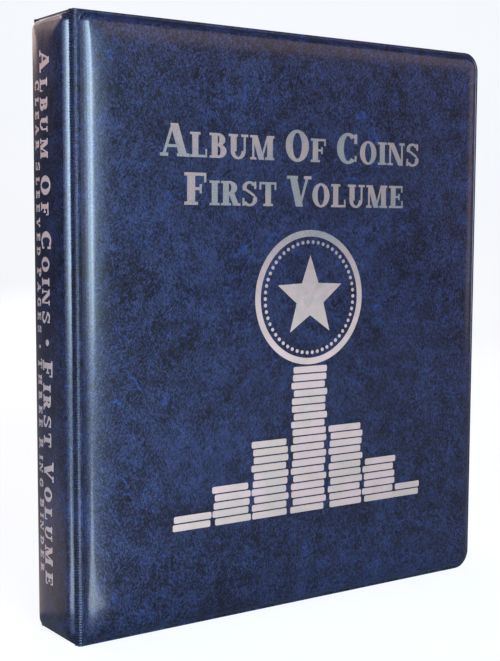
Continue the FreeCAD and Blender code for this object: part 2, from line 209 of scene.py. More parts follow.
class Spine:
    """Outer face of the spine: a narrow pad with a steep step at its welded edge."""

    low = np.array([-SPINE_HALF, 0.0])
    high = np.array([SPINE_HALF, HEIGHT])
    corners = (0.0, 0.0)
    pad_low = np.array([-17.05, 1.3])
    pad_high = np.array([17.05, HEIGHT - 1.3])
    pad_corners = (4.2, 4.2)
    lines_u = graded(-SPINE_HALF, SPINE_HALF, 0.2, 0.9)
    lines_v = graded(0.0, HEIGHT, 0.28, 2.4)
    flip = True

    wall_height, wall_reach = 2.5, 2.3
    back_height = 0.4  # more wall towards the back cover, where the pad is fuller
    dome_height, end_reach = 1.9, 8.0
    wave_height = 0.10

    def rise(self, u, v):
        d = inside_distance(u, v, self.pad_low, self.pad_high, self.pad_corners)
        inside = np.maximum(d, 0.0)
        wall = self.wall_height + self.back_height * smooth_step(u, -9.0, 9.0)
        wall *= np.sqrt(eased(inside / self.wall_reach, 2.0))
        ends = np.minimum(v - self.pad_low[1], self.pad_high[1] - v)
        dome = self.dome_height * eased(inside / self.pad_high[0], 2.6)
        dome *= eased(ends / self.end_reach, 2.2)
        wave = self.wave_height * noise_field(u, v, 30.0, 55.0, 5.5) * smooth_step(d, 2.0, 9.0)
        return np.where(d > 0, wall + dome + wave, 0.0)

    def place(self, u, v, h):
        return np.stack([-(SPINE_PLANE + h), u, v], axis=-1)


def panel_mesh(name, panel):
    """The panel as a closed skin: its outer face, the cut edge and a flat back."""
    u, v = np.meshgrid(panel.lines_u, panel.lines_v, indexing="ij")
    u, v = round_corners(u, v, panel.low, panel.high, panel.corners)
    outer = panel.place(u, v, panel.rise(u, v))
    index = np.arange(u.size).reshape(u.shape)
    loop = np.concatenate([index[:, 0], index[-1, 1:], index[-2::-1, -1], index[0, -2:0:-1]])
    back = panel.place(u.ravel()[loop], v.ravel()[loop], np.full(len(loop), -PANEL_SHEET))
    base, count = u.size, len(loop)
    following = np.roll(np.arange(count), -1)
    walls = [(loop[k], base + k, base + n, loop[n]) for k, n in enumerate(following)]
    back_face = tuple(base + k for k in reversed(range(count)))
    faces = grid_faces(index) + walls + [back_face]
    if panel.flip:
        faces = [face[::-1] for face in faces]
    return add_mesh(name, np.concatenate([outer.reshape(-1, 3), back]), faces, sharp=55)


# ---------------------------------------------------------------- hinge strips
# The sealing die leaves a ladder of rungs. Its bands are given by their distance from the
# spine panel: start, full, still full and end.

FOLD_RADIUS = 1.2
RUNG_PITCH = 1.31
STRONG_BAND, STRONG_FLOOR, STRONG_DEPTH = (0.15, 0.4, 1.7, 2.0), 0.08, 0.2
FAINT_BAND, FAINT_DEPTH = (2.5, 2.8, 4.4, 4.7), 0.24
BEAD_MIDDLE, BEAD_HALF, BEAD_HEIGHT = 0.774, 0.822, 0.8
LINES_ACROSS = 47
LEVELS_PER_RUNG = 6
INNER_LEVEL_STEP = 10  # the inner face has no rungs, so it has a tenth of the levels


def hinge_profile():
    """Outer points with normals, inner points, and the strength of each mark of the die, all
    across a hinge strip from the spine to the cover. Points are (x, distance along Y)."""
    straight = COVER_PLANE - FOLD_RADIUS - SPINE_HALF
    arc = math.pi / 2 * FOLD_RADIUS
    tail = SPINE_PLANE - FOLD_RADIUS + COVER_START
    centre = (FOLD_RADIUS - SPINE_PLANE, COVER_PLANE - FOLD_RADIUS)
    outer, inner, marks = [], [], []
    for s in np.linspace(0.0, straight + arc + tail, LINES_ACROSS):
        if s <= straight:
            point, normal = (-SPINE_PLANE, SPINE_HALF + s), (-1.0, 0.0)
        elif s <= straight + arc:
            a = (s - straight) / FOLD_RADIUS
            normal = (-math.cos(a), math.sin(a))
            point = tuple(c + FOLD_RADIUS * n for c, n in zip(centre, normal))
        else:
            point, normal = (centre[0] + s - straight - arc, COVER_PLANE), (0.0, 1.0)
        outer.append((point, normal))
        inner.append(tuple(p - n * WELD for p, n in zip(point, normal)))
        strong, faint = (
            smooth_step(s, band[0], band[1]) * (1 - smooth_step(s, band[2], band[3]))
            for band in (STRONG_BAND, FAINT_BAND)
        )
        bead = BEAD_HEIGHT * max(0.0, 1.0 - ((s - BEAD_MIDDLE) / BEAD_HALF) ** 2)
        marks.append((strong, faint, bead))
    return outer, inner, marks


def hinge_mesh(name, side):
    """A folded weld with the pressed rungs of the sealing die along the spine's edge."""
    outer, inner, marks = hinge_profile()
    rungs = int(round(HEIGHT / RUNG_PITCH))
    zs = np.linspace(0.0, HEIGHT, rungs * LEVELS_PER_RUNG + 1)
    phase = 0.5 - 0.5 * np.cos(2 * np.pi * np.arange(len(zs)) / LEVELS_PER_RUNG)
    wander = np.array([noise.noise(Vector((z / 9.0, side * 4.0, 0.5))) for z in zs])
    rows = []
    for ((px, py), (nx, ny)), (strong, faint, bead) in zip(outer, marks):
        depth = strong * (STRONG_FLOOR + STRONG_DEPTH * phase * (1 + 0.35 * wander))
        depth += faint * FAINT_DEPTH * phase
        depth -= bead * (1 - phase) * (1 + 0.3 * wander)
        rows.append(np.stack([px - nx * depth, side * (py - ny * depth), zs], axis=-1))
    points = np.concatenate(rows)
    levels = len(zs)
    index = np.arange(len(points)).reshape(LINES_ACROSS, levels)
    faces = grid_faces(index)
    inner_levels = list(range(0, levels - 1, INNER_LEVEL_STEP)) + [levels - 1]
    inner_points = [(x, side * y, zs[level]) for x, y in inner for level in inner_levels]
    back = np.arange(len(inner_points)).reshape(LINES_ACROSS, -1) + len(points)
    faces += [face[::-1] for face in grid_faces(back)]
    for j, (low, high) in enumerate(zip(inner_levels, inner_levels[1:])):
        near, far = index[0, low:high + 1], index[-1, low:high + 1]
        faces.append(tuple(near) + (back[0, j + 1], back[0, j]))
        faces.append(tuple(far[::-1]) + (back[-1, j], back[-1, j + 1]))
    for k in range(LINES_ACROSS - 1):
        faces.append((index[k, 0], back[k, 0], back[k + 1, 0], index[k + 1, 0]))
        faces.append((index[k, -1], index[k + 1, -1], back[k + 1, -1], back[k, -1]))
    if side > 0:
        faces = [face[::-1] for face in faces]
    return add_mesh(name, np.concatenate([points, np.array(inner_points)]), faces, sharp=50)


# ---------------------------------------------------------------- foil artwork
# Letters are drawn in a box one unit high, as overlapping polygons that are then united.

STEM, HAIR, SERIF, SERIF_REACH = 0.28, 0.1, 0.1, 0.1
LETTER_GAP, WORD_GAP = 0.06, 0.36
WIDEST = 1.08  # the most that a letter is widened when a line is stretched
FOIL_LIFT, FOIL_SINK = 0.07, 0.05  # how far foil stands above and reaches below the vinyl


def bar(x0, y0, x1, y1):
    return [(x0, y0), (x1, y0), (x1, y1), (x0, y1)]


def slant(x0, x1, width, y0=0.0, y1=1.0):
    """A sloping stem whose left edge runs from (x0, y0) to (x1, y1)."""
    return [(x0, y0), (x0 + width, y0), (x1 + width, y1), (x1, y1)]


def bow(cx, cy, rx, ry, start, end, heavy, light, pieces=18):
    """A curved stroke, heavy where it runs upright and light where it runs level."""
    shapes = []
    for k in range(pieces):
        corners = []
        for angle, edge in ((k, 0), (k + 1, 0), (k + 1, 1), (k, 1)):
            a = math.radians(start + (end - start) * angle / pieces)
            inner_x, inner_y = rx - heavy * edge, ry - light * edge
            corners.append((cx + inner_x * math.cos(a), cy + inner_y * math.sin(a)))
        shapes.append(corners)
    return shapes


def upright(x, head=True):
    """A stem with slab serifs at its foot and, unless told otherwise, its head."""
    left, right = x - SERIF_REACH, x + STEM + SERIF_REACH
    shapes = [bar(x, 0, x + STEM, 1), bar(left, 0, right, SERIF)]
    if head:
        shapes.append(bar(left, 1 - SERIF, right, 1))
    return shapes


def glyph(letter):
    """The polygons of one capital, or of a raised point, and the width that it takes."""
    s = STEM
    if letter == "A":
        return [slant(0.02, 0.36, HAIR), slant(0.62, 0.31, s), bar(0.2, 0.27, 0.75, 0.36),
                bar(-0.04, 0, 0.24, SERIF), bar(0.54, 0, 0.98, SERIF)], 0.94
    if letter == "B":
        return (upright(0.1) + bow(0.4, 0.74, 0.34, 0.26, -90, 90, s, HAIR)
                + bow(0.42, 0.28, 0.38, 0.28, -90, 90, s, HAIR)
                + [bar(0.3, 0, 0.44, HAIR), bar(0.3, 0.47, 0.44, 0.56),
                   bar(0.3, 1 - HAIR, 0.44, 1)]), 0.82
    if letter in "CG":
        shapes = bow(0.46, 0.5, 0.46, 0.52, 48, 312, s, HAIR, 26)
        shapes.append(bar(0.72, 0.66, 0.84, 0.98))
        if letter == "G":
            shapes += [bar(0.6, 0.02, 0.84, 0.44), bar(0.5, 0.36, 0.92, 0.46)]
        else:
            shapes.append(bar(0.74, 0.06, 0.82, 0.26))
        return shapes, 0.9
    if letter == "D":
        return (upright(0.1) + bow(0.4, 0.5, 0.5, 0.5, -90, 90, s, HAIR, 22)
                + [bar(0.3, 0, 0.42, HAIR), bar(0.3, 1 - HAIR, 0.42, 1)]), 0.92
    if letter in "EF":
        shapes = upright(0.1) + [bar(0.3, 1 - HAIR, 0.78, 1), bar(0.7, 0.7, 0.78, 1),
                                 bar(0.3, 0.46, 0.6, 0.55), bar(0.54, 0.36, 0.62, 0.65)]
        if letter == "E":
            shapes += [bar(0.3, 0, 0.8, HAIR), bar(0.72, 0, 0.8, 0.32)]
        return shapes, 0.84
    if letter == "H":
        return upright(0.1) + upright(0.68) + [bar(0.3, 0.46, 0.72, 0.55)], 1.06
    if letter == "I":
        return upright(0.1), 0.46
    if letter == "L":
        return upright(0.1) + [bar(0.3, 0, 0.78, HAIR), bar(0.7, 0, 0.78, 0.34)], 0.82
    if letter == "M":
        return ([bar(0.1, 0, 0.1 + HAIR, 1), slant(0.42, 0.08, s), slant(0.5, 0.82, HAIR),
                 bar(0.84, 0, 0.84 + s, 1), bar(0, 1 - SERIF, 0.32, 1), bar(0, 0, 0.3, SERIF),
                 bar(0.84, 1 - SERIF, 1.19, 1), bar(0.74, 0, 1.19, SERIF)]), 1.22
    if letter == "N":
        return ([bar(0.1, 0, 0.1 + HAIR, 1), slant(0.62, 0.08, s), bar(0.78, 0, 0.78 + HAIR, 1),
                 bar(0, 1 - SERIF, 0.3, 1), bar(0, 0, 0.3, SERIF),
                 bar(0.68, 1 - SERIF, 0.98, 1)]), 1.0
    if letter == "O":
        return bow(0.46, 0.5, 0.46, 0.52, 0, 360, s, HAIR, 40), 0.94
    if letter in "PR":
        shapes = upright(0.1) + bow(0.4, 0.73, 0.38, 0.27, -90, 90, s, HAIR)
        shapes += [bar(0.3, 0.46, 0.42, 0.56), bar(0.3, 1 - HAIR, 0.42, 1)]
        if letter == "R":
            shapes += [slant(0.6, 0.36, s, 0, 0.5), bar(0.56, 0, 0.94, SERIF)]
        return shapes, 0.94 if letter == "R" else 0.8
    if letter == "S":
        return (bow(0.37, 0.74, 0.35, 0.28, 25, 205, 0.2, HAIR)
                + bow(0.37, 0.26, 0.37, 0.28, -155, 25, 0.2, HAIR)
                + [[(0.03, 0.66), (0.2, 0.6), (0.72, 0.3), (0.58, 0.5), (0.1, 0.78)],
                   bar(0.6, 0.7, 0.7, 1.0), bar(0.02, 0.0, 0.12, 0.32)]), 0.78
    if letter == "T":
        return upright(0.3, head=False) + [bar(0, 1 - HAIR, 0.85, 1), bar(0, 0.68, 0.09, 1),
                                           bar(0.76, 0.68, 0.85, 1)], 0.87
    if letter == "U":
        return ([bar(0.1, 0.3, 0.1 + s, 1), bar(0.72, 0.3, 0.72 + HAIR, 1),
                 bar(0, 1 - SERIF, 0.45, 1), bar(0.6, 1 - SERIF, 0.94, 1)]
                + bow(0.46, 0.32, 0.36, 0.34, 180, 360, 0.2, HAIR)), 0.96
    if letter == "V":
        return [slant(0.34, 0.08, s), slant(0.44, 0.76, HAIR), bar(-0.02, 1 - SERIF, 0.42, 1),
                bar(0.66, 1 - SERIF, 0.96, 1)], 0.94
    return bow(0.2, 0.5, 0.16, 0.16, 0, 360, 0.16, 0.16, 16), 0.42


def line_of_text(words, big, small, length):
    """Polygons of a line of small capitals whose word initials are larger, spread so that its
    last letter starts one capital's height before the length."""
    letters, x = [], 0.0
    for word in words.split(" "):
        for k, letter in enumerate(word):
            size = small if k else big
            polygons, width = glyph(letter)
            letters.append((x, size, polygons))
            x += width * size + LETTER_GAP * big
        x += WORD_GAP * big
    last_start = letters[-1][0]
    stretch = (length - big) / last_start
    wider = min(stretch, WIDEST)
    return [
        [[(start * stretch + px * size * wider, py * size) for px, py in polygon]
         for polygon in polygons]
        for start, size, polygons in letters
    ]


def united(polygons):
    """Triangles that cover the union of the polygons."""
    points, outlines = [], []
    for polygon in polygons:
        area = sum(a[0] * b[1] - b[0] * a[1] for a, b in zip(polygon, polygon[1:] + polygon[:1]))
        if area < 0:
            polygon = polygon[::-1]
        outlines.append(list(range(len(points), len(points) + len(polygon))))
        points += [Vector(p) for p in polygon]
    places, _, triangles, _, _, sources = delaunay_2d_cdt(points, [], outlines, 1, 1e-5)
    covered = [tuple(triangle) for triangle, source in zip(triangles, sources) if source]
    used = sorted({k for triangle in covered for k in triangle})
    number = {k: n for n, k in enumerate(used)}
    flat = np.array([tuple(places[k]) for k in used])
    return flat, [tuple(number[k] for k in triangle) for triangle in covered]


def foil_mesh(name, groups, panel, to_panel):
    """Foil stamped on a panel: each group of polygons is united, laid on the pad's surface
    and closed underneath."""
    points, faces, base = [], [], 0
    for group in groups:
        flat, triangles = united(group)
        u, v = to_panel(flat[:, 0], flat[:, 1])
        rise = panel.rise(u, v)
        points += [panel.place(u, v, rise + FOIL_LIFT), panel.place(u, v, rise - FOIL_SINK)]
        count = len(flat)
        top = [tuple(base + k for k in triangle) for triangle in triangles]
        edges = {}
        for triangle in top:
            for a, b in zip(triangle, triangle[1:] + triangle[:1]):
                if (b, a) in edges:
                    del edges[(b, a)]
                else:
                    edges[(a, b)] = True
        faces += top
        faces += [tuple(k + count for k in triangle[::-1]) for triangle in top]
        faces += [(b, a, a + count, b + count) for a, b in edges]
        base += 2 * count
    points = np.concatenate(points)
    a, b, c = points[list(faces[0])]
    zero = np.zeros(1)
    outward = (panel.place(zero, zero, zero + 1.0) - panel.place(zero, zero, zero))[0]
    if np.dot(np.cross(b - a, c - a), outward) < 0:
        faces = [face[::-1] for face in faces]
    return add_mesh(name, points, faces, sharp=40)


def on_circle(cx, cy, radius, k, count, start=0.0):
    """The place of point k of a count of points spaced evenly round a circle."""
    a = start + 2 * math.pi * k / count
    return (cx + radius * math.cos(a), cy + radius * math.sin(a))


def disc_ring(cx, cy, outer, inner, pieces=96):
    return [
        [on_circle(cx, cy, radius, n, pieces)
         for n, radius in ((k, outer), (k + 1, outer), (k + 1, inner), (k, inner))]
        for k in range(pieces)
    ]


def edge_on_coin(centre, foot, half_width, thick, chamfer):
    x0, x1, z0, z1 = centre - half_width, centre + half_width, foot, foot + thick
    return [(x0, z0 + chamfer), (x0 + chamfer, z0), (x1 - chamfer, z0), (x1, z0 + chamfer),
            (x1, z1 - chamfer), (x1 - chamfer, z1), (x0 + chamfer, z1), (x0, z1 - chamfer)]


def coin_stack_emblem():
    """Stacks of coins seen edge on, with one large coin standing on the tallest stack. Places
    are along the cover from the fold, and up from the album's foot."""
    thick, pitch, base, chamfer = 3.4, 4.1, 50.0, 0.6
    stacks = ((60, 2, 11), (84, 5, 11), (108, 10, 11), (133, 19, 11), (158, 11, 11),
              (182, 6, 11), (203, 2, 9))  # middle, coins and half width of each stack
    groups = []
    for stack, (middle, coins, half_width) in enumerate(stacks):
        for k in range(coins):
            uneven = 0.9 * math.sin(2.3 * k + 1.7 * stack)
            foot = base + k * pitch
            groups.append([edge_on_coin(middle + uneven, foot, half_width, thick, chamfer)])
    radius, rim, bead_inset, beads, bead_radius = 35.0, 3.4, 6.2, 54, 1.0
    star_outer, star_inner = 22.0, 9.2
    cx, tallest, _ = max(stacks, key=lambda stack: stack[1])
    cz = base + tallest * pitch + radius + 0.2
    groups.append(disc_ring(cx, cz, radius, radius - rim))
    for k in range(beads):
        x, z = on_circle(cx, cz, radius - bead_inset, k, beads)
        groups.append([[on_circle(x, z, bead_radius, t, 8) for t in range(8)]])
    groups.append([[on_circle(cx, cz, star_inner if k % 2 else star_outer, k, 10, math.pi / 2)
                    for k in range(10)]])
    return groups


# ---------------------------------------------------------------- materials


class Graph:
    """A short way to write a material's nodes."""

    def __init__(self, name):
        self.material = bpy.data.materials.new(name)
        self.material.use_nodes = True
        self.tree = self.material.node_tree
        self.tree.nodes.clear()
        self.out = self.tree.nodes.new("ShaderNodeOutputMaterial")

    def node(self, kind, inputs=None, **settings):
        made = self.tree.nodes.new("ShaderNode" + kind)
        for key, value in settings.items():
            setattr(made, key, value)
        for key, value in (inputs or {}).items():
            self.put(made, key, value)
        return made

    def put(self, node, key, value):
        socket = node.inputs[key]
        if isinstance(value, bpy.types.NodeSocket):
            self.tree.links.new(value, socket)
        else:
            socket.default_value = value

    def math(self, operation, a, b=0.0):
        return self.node("Math", {0: a, 1: b}, operation=operation).outputs[0]

    def noise(self, where, scale, detail=2.0, roughness=0.5, distortion=0.0):
        made = self.node("TexNoise", {"Vector": where, "Scale": scale, "Detail": detail,
                                      "Roughness": roughness, "Distortion": distortion})
        return made.outputs["Fac"]

    def spread(self, value, low, high, to_low=0.0, to_high=1.0):
        made = self.node("MapRange", {"Value": value, "From Min": low, "From Max": high,
                                      "To Min": to_low, "To Max": to_high},
                         interpolation_type="SMOOTHSTEP")
        return made.outputs["Result"]

    def about(self, value, weight):
        """How far a noise stands above its middle, times a weight."""
        return self.math("MULTIPLY", self.math("SUBTRACT", value, 0.5), weight)

    def mix(self, factor, a, b):
        made = self.node("Mix", data_type="RGBA")
        self.put(made, 0, factor)
        self.put(made, 6, a)
        self.put(made, 7, b)
        return made.outputs[2]

    def millimetres(self, turn=(0.0, 0.0, 0.0), scale=(1.0, 1.0, 1.0)):
        """Object coordinates in millimetres, turned and stretched."""
        coordinates = self.node("TexCoord").outputs["Object"]
        turned = self.node("Mapping", {"Vector": coordinates,
                                       "Rotation": [math.radians(t) for t in turn],
                                       "Scale": [1000.0] * 3}, vector_type="POINT")
        if scale == (1.0, 1.0, 1.0):
            return turned.outputs[0]
        stretched = self.node("Mapping", {"Vector": turned.outputs[0], "Scale": scale})
        return stretched.outputs[0]

    def bump(self, height, strength, distance, normal=None):
        made = self.node("Bump", {"Height": height, "Strength": strength, "Distance": distance})
        if normal is not None:
            self.put(made, "Normal", normal)
        return made.outputs[0]

    def surface(self, **inputs):
        names = {"color": "Base Color", "rough": "Roughness", "metal": "Metallic",
                 "normal": "Normal", "specular": "Specular IOR Level", "ior": "IOR",
                 "coat": "Coat Weight", "coat_rough": "Coat Roughness", "alpha": "Alpha"}
        shader = self.node("BsdfPrincipled", {names[k]: v for k, v in inputs.items()})
        self.tree.links.new(shader.outputs[0], self.out.inputs["Surface"])
        return self.material


def rgb(r, g, b):
    """A colour written as on a screen, 0 to 255, turned into linear light."""
    def linear(c):
        c /= 255.0
        return c / 12.92 if c <= 0.04045 else ((c + 0.055) / 1.055) ** 2.4
    return (linear(r), linear(g), linear(b), 1.0)


def vinyl_material(name, coat, coat_rough):
    """Navy leather-grained vinyl: two-tone mottling, fibrous grain and pale hairline veins."""
    g = Graph(name)
    flat = g.millimetres()
    first = g.millimetres((0, 24, 12), (1.0, 1.0, 0.42))
    second = g.millimetres((0, -38, -16), (1.0, 1.0, 0.42))
    cloud = g.noise(flat, 0.030, 4.0, 0.55, 0.6)
    patch = g.noise(flat, 0.12, 3.0, 0.6, 0.5)
    which = g.spread(g.noise(flat, 0.09, 2.0, 0.5), 0.44, 0.56)
    fibre_a = g.noise(first, 1.4, 3.0, 0.6, 0.3)
    fibre_b = g.noise(second, 1.3, 3.0, 0.6, 0.3)
    fibre = g.node("Mix", {0: which, 2: fibre_a, 3: fibre_b}, data_type="FLOAT").outputs[0]
    speck = g.noise(flat, 1.7, 3.0, 0.7)

    def veins(scale, width, distortion, low, high):
        """Hairlines where a warped noise crosses its middle, broken up by a wider noise."""
        field = g.noise(flat, scale, 1.5, 0.5, distortion)
        away = g.math("ABSOLUTE", g.math("SUBTRACT", field, 0.5))
        line = g.spread(away, 0.0, width, 1.0, 0.0)
        return g.math("MULTIPLY", line, g.spread(g.noise(flat, scale * 1.5, 1.0), low, high))

    vein = g.math("MAXIMUM", veins(0.034, 0.010, 2.4, 0.44, 0.58),
                  g.math("MULTIPLY", veins(0.080, 0.022, 3.0, 0.46, 0.60), 0.8))
    vein = g.math("MULTIPLY", vein, g.spread(speck, 0.36, 0.60, 0.3, 1.0))
    tone = g.about(fibre, 3.4)
    for value, weight in ((speck, 3.2), (cloud, 0.9), (patch, 0.8)):
        tone = g.math("ADD", tone, g.about(value, weight))
    tone = g.spread(g.math("ADD", tone, 0.36), 0.0, 1.0)
    color = g.mix(tone, rgb(10, 9, 16), rgb(41, 48, 78))
    color = g.mix(g.math("MULTIPLY", vein, 0.5), color, rgb(40, 68, 128))
    height = g.math("ADD", g.math("MULTIPLY", fibre, 0.6), g.math("MULTIPLY", speck, 0.5))
    height = g.math("SUBTRACT", height, g.math("MULTIPLY", vein, 0.25))
    normal = g.bump(height, 0.8, 0.00020)
    normal = g.bump(g.noise(flat, 0.16, 2.0), 0.35, 0.0005, normal)
    uneven = g.math("ADD", g.math("MULTIPLY", speck, 0.5), g.math("MULTIPLY", patch, 0.5))
    rough = g.spread(uneven, 0.3, 0.7, 0.30, 0.42)
    return g.surface(color=color, rough=rough, normal=normal, specular=0.3,
                     coat=coat, coat_rough=coat_rough)


def foil_material(name, fresh, dull, low, high):
    """Stamped foil that takes the grain below it: pinholes, wear and a warm to grey tint,
    and painted light: its colour runs from one pair at the low height to the other at the high
    height, a painted reflection."""
    g = Graph(name)
    flat = g.millimetres()
    grain = g.noise(flat, 2.0, 3.0, 0.65)
    tint = g.spread(g.noise(flat, 0.055, 2.0), 0.40, 0.60)
    height = g.node("SeparateXYZ", {0: flat}).outputs[2]
    # Painted light: the colour blends by height from the low pair to the high pair, a painted
    # reflection, not a change in the foil.
    color = g.mix(g.spread(height, low, high), g.mix(tint, *fresh), g.mix(tint, *dull))
    color = g.mix(g.spread(grain, 0.35, 0.65, 0.0, 0.3), color, rgb(200, 190, 188))
    worn = g.spread(grain, 0.62, 0.70)
    color = g.mix(g.math("MULTIPLY", worn, 0.7), color, rgb(70, 74, 98))
    rough = g.spread(g.noise(flat, 0.5, 3.0, 0.6), 0.3, 0.7, 0.38, 0.6)
    normal = g.bump(grain, 0.7, 0.00022)
    metal = g.spread(worn, 0.0, 1.0, 0.5, 0.1)
    return g.surface(color=color, rough=rough, normal=normal, metal=metal)


def liner_material():
    """Satin inside vinyl with a fine pebbled grain."""
    g = Graph("liner_vinyl")
    flat = g.millimetres()
    pebble = g.node("TexVoronoi", {"Vector": flat, "Scale": 0.9, "Randomness": 1.0},
                    feature="SMOOTH_F1")
    soft = g.noise(flat, 0.05, 3.0)
    color = g.mix(g.spread(soft, 0.35, 0.65), rgb(40, 46, 71), rgb(45, 52, 80))
    color = g.mix(g.spread(pebble.outputs[0], 0.2, 0.8, 0.0, 0.3), color, rgb(24, 28, 46))
    normal = g.bump(pebble.outputs[0], 0.35, 0.0002)
    rough = g.spread(g.noise(flat, 0.3, 3.0), 0.3, 0.7, 0.42, 0.58)
    return g.surface(color=color, rough=rough, normal=normal)


def steel_material(name, low, high, rough_low, rough_high, brushed):
    """Plated or rolled steel with faint handling marks, and rolling lines where brushed."""
    g = Graph(name)
    flat = g.millimetres()
    lines = g.millimetres(scale=(3.0, 3.0, 0.06) if brushed else (1.0, 1.0, 1.0))
    marks = g.noise(lines, 1.4 if brushed else 0.35, 4.0, 0.6)
    smear = g.noise(flat, 0.12, 3.0, 0.6)
    color = g.mix(g.spread(smear, 0.35, 0.65), low, high)
    rough = g.spread(marks, 0.3, 0.7, rough_low, rough_high)
    fine = g.noise(flat, 2.5, 3.0, 0.6)
    normal = g.bump(g.math("ADD", marks, g.math("MULTIPLY", fine, 0.3)), 0.12, 0.00008)
    return g.surface(color=color, rough=rough, normal=normal, metal=1.0)


def clear_material():
    """Clear flexible vinyl: glossy, faintly milky, with slight ripples."""
    g = Graph("clear_vinyl")
    flat = g.millimetres()
    ripple = g.noise(flat, 0.05, 3.0, 0.5, 0.3)
    haze = g.noise(flat, 0.2, 3.0, 0.6)
    color = g.mix(g.spread(haze, 0.3, 0.7), rgb(196, 202, 210), rgb(208, 212, 218))
    rough = g.spread(haze, 0.3, 0.7, 0.06, 0.16)
    normal = g.bump(ripple, 0.3, 0.0008)
    alpha = g.spread(haze, 0.3, 0.7, 0.11, 0.20)
    return g.surface(color=color, rough=rough, normal=normal, alpha=alpha, ior=1.5)


def card_material():
    """Matte blue card with paper fibre."""
    g = Graph("card")
    flat = g.millimetres()
    fibre = g.noise(g.millimetres((10, 30, 0), (1.0, 1.0, 0.3)), 1.8, 4.0, 0.7)
    cloud = g.noise(flat, 0.06, 3.0)
    color = g.mix(g.spread(fibre, 0.3, 0.7), rgb(34, 52, 104), rgb(46, 68, 126))
    color = g.mix(g.spread(cloud, 0.35, 0.65, 0.0, 0.25), color, rgb(30, 44, 88))
    normal = g.bump(fibre, 0.3, 0.0001)
    return g.surface(color=color, rough=g.spread(fibre, 0.3, 0.7, 0.72, 0.86), normal=normal)


def board_material():
    """Grey bookbinding board."""
    g = Graph("board")
    flat = g.millimetres()
    fibre = g.noise(flat, 1.2, 5.0, 0.7)
    flecks = g.spread(g.noise(flat, 3.0, 2.0), 0.66, 0.72)
    color = g.mix(g.spread(fibre, 0.3, 0.7), rgb(132, 124, 110), rgb(160, 152, 138))
    color = g.mix(flecks, color, rgb(86, 80, 72))
    return g.surface(color=color, rough=g.spread(fibre, 0.3, 0.7, 0.8, 0.95),
                     normal=g.bump(fibre, 0.5, 0.0003))


# ---------------------------------------------------------------- the pieces

vinyl = vinyl_material("outer_vinyl", 0.65, 0.175)
pressed_vinyl = vinyl_material("pressed_vinyl", 0.22, 0.28)
# Foil colours change with height as painted light: the cover's foil is painted lighter low down
# and darker high up, and the spine's is painted warmer towards its top, a painted warm
# reflection.
cover_foil = foil_material("cover_foil", (rgb(196, 168, 150), rgb(208, 172, 160)),
                           (rgb(108, 103, 97), rgb(136, 111, 102)), 120.0, 215.0)
spine_foil = foil_material("spine_foil", (rgb(200, 184, 182), rgb(212, 188, 184)),
                           (rgb(214, 180, 172), rgb(220, 190, 184)), 90.0, 210.0)
front, back, spine = Cover(-1), Cover(1), Spine()

for name, panel, prefix in (
    ("front_cover_skin", front, "front"),
    ("back_cover_skin", back, "back"),
    ("spine_skin", spine, "spine"),
):
    skin = panel_mesh(name, panel)
    skin.data.materials.append(vinyl)
    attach(skin, "spine" if prefix == "spine" else prefix + "_cover")
    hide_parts(prefix + "_outer_vinyl", prefix + "_foam_pad")

for prefix, side in (("front", -1), ("back", 1)):
    strip = hinge_mesh(prefix + "_hinge_weld", side)
    strip.data.materials.append(pressed_vinyl)
    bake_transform(strip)
    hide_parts(prefix + "_hinge_strip")


def cover_lines(base, left):
    """From text or emblem places, measured from the fold and the foot, to the front pad."""
    return lambda x, y: (x + left - SPINE_PLANE, y + base)


def spine_line(y0, z0):
    """Text down the spine, with the tops of its letters towards the front cover."""
    return lambda x, y: (y0 - y, z0 - x)


stamps = (
    ("title_first_line", line_of_text("ALBUM OF COINS", 15.6, 12.0, 171.0), front,
     cover_lines(233.0, 43.0), "front_cover"),
    ("title_second_line", line_of_text("FIRST VOLUME", 15.6, 12.0, 146.0), front,
     cover_lines(210.0, 56.0), "front_cover"),
    ("emblem", coin_stack_emblem(), front, cover_lines(0.0, 0.0), "front_cover"),
    ("spine_title", line_of_text("ALBUM OF COINS . FIRST VOLUME", 9.2, 7.2, 258.0), spine,
     spine_line(4.7, 281.0), "spine"),
    ("spine_subtitle", line_of_text("CLEAR SLEEVED PAGES . THREE RING BINDER", 5.0, 4.3, 238.0),
     spine, spine_line(10.8, 268.0), "spine"),
)
for name, groups, panel, to_panel, body in stamps:
    stamp = foil_mesh(name, groups, panel, to_panel)
    stamp.data.materials.append(spine_foil if body == "spine" else cover_foil)
    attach(stamp, body)

looks = {
    "liner_vinyl": liner_material(),
    "board": board_material(),
    "plated_steel": steel_material("plated_steel", rgb(205, 207, 212), rgb(222, 223, 226),
                                   0.14, 0.26, False),
    "spring_steel": steel_material("spring_steel", rgb(168, 170, 174), rgb(188, 190, 193),
                                   0.28, 0.42, True),
    "clear_vinyl": clear_material(),
    "card": card_material(),
}


def look_of(node):
    if node.endswith("_liner"):
        return "liner_vinyl"
    if node.endswith("_board"):
        return "board"
    if node.endswith("_sleeve"):
        return "clear_vinyl"
    if node.endswith("_coin_card"):
        return "card"
    if node.endswith("_hinge_plate"):
        return "spring_steel"
    return "plated_steel"


for name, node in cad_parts.items():
    if node.hide_render:
        continue
    node.data.materials.clear()
    node.data.materials.append(looks[look_of(name)])


# ---------------------------------------------------------------- stage, light and camera


def stage_material():
    """Pale paper. It glows a little for the camera only, so that it stays near white."""
    g = Graph("pale_floor")
    mottling = g.noise(g.millimetres(), 0.004, 3.0)
    color = g.mix(mottling, (0.20, 0.20, 0.21, 1.0), (0.23, 0.23, 0.23, 1.0))
    paper = g.node("BsdfDiffuse", {"Color": color})
    glow = g.node("Emission", {"Color": (0.97, 0.98, 1.0, 1.0), "Strength": 0.84})
    lit = g.node("AddShader", {0: paper.outputs[0], 1: glow.outputs[0]})
    seen = g.node("LightPath").outputs["Is Camera Ray"]
    both = g.node("MixShader", {0: seen, 1: paper.outputs[0], 2: lit.outputs[0]})
    g.tree.links.new(both.outputs[0], g.out.inputs["Surface"])
    return g.material


